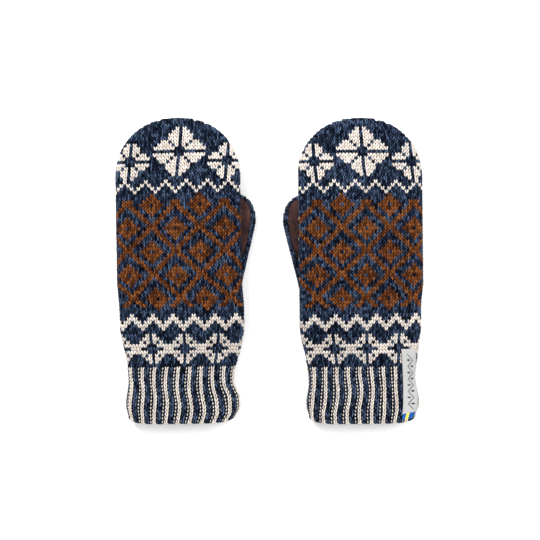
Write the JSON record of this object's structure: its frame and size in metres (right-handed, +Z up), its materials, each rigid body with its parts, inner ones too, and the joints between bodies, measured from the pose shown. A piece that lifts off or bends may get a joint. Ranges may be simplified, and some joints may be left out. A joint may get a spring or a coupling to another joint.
{
  "type": "pair of knitted mittens",
  "caption": "Pair of lined wool mittens with a colourwork back, ribbed cuffs, separate thumbs that swing, and leather palm and thumb patches, lying flat palms down.",
  "frame": {"origin": "on the table under the middle of the pair, which lies flat with the palms down", "axes": "+X across the pair from the left mitten to the right one, +Y towards the fingertips, +Z up from the table"},
  "size_m": [0.2627, 0.2617, 0.0333],
  "materials": {
    "navy_knit": "matte",
    "ribbed_knit": "matte",
    "wool_lining": "matte",
    "brown_leather": "satin",
    "waxed_thread": "satin",
    "label_weave": "satin",
    "label_thread": "matte",
    "blue_ribbon": "satin"
  },
  "bodies": {
    "left_hand": {"left_hand_shell": "navy_knit", "left_cuff": "ribbed_knit", "left_hand_lining": "wool_lining", "left_palm_patch": "brown_leather", "left_palm_stitching": "waxed_thread"},
    "left_thumb": {"left_thumb_shell": "navy_knit", "left_thumb_lining": "wool_lining", "left_thumb_patch": "brown_leather", "left_thumb_stitching": "waxed_thread"},
    "right_hand": {"right_hand_shell": "navy_knit", "right_cuff": "ribbed_knit", "right_hand_lining": "wool_lining", "right_palm_patch": "brown_leather", "right_palm_stitching": "waxed_thread", "woven_label": "label_weave", "label_stitching": "label_thread", "ribbon_tab": "blue_ribbon"},
    "right_thumb": {"right_thumb_shell": "navy_knit", "right_thumb_lining": "wool_lining", "right_thumb_patch": "brown_leather", "right_thumb_stitching": "waxed_thread"}
  },
  "joints": [
    {"name": "left_thumb_swing", "type": "hinge", "parent": "left_hand", "child": "left_thumb", "pos_m": [-0.04128, -0.01343, 0.0065], "axis": [0, 0, -1], "range_deg": [-15, 9]},
    {"name": "mitten_spacing", "type": "slide", "parent": "left_hand", "child": "right_hand", "axis": [1, 0, 0], "range_m": [0, 0.06]},
    {"name": "right_thumb_swing", "type": "hinge", "parent": "right_hand", "child": "right_thumb", "pos_m": [0.04165, -0.01438, 0.0065], "axis": [0, 0, 1], "range_deg": [-15, 9]}
  ]
}
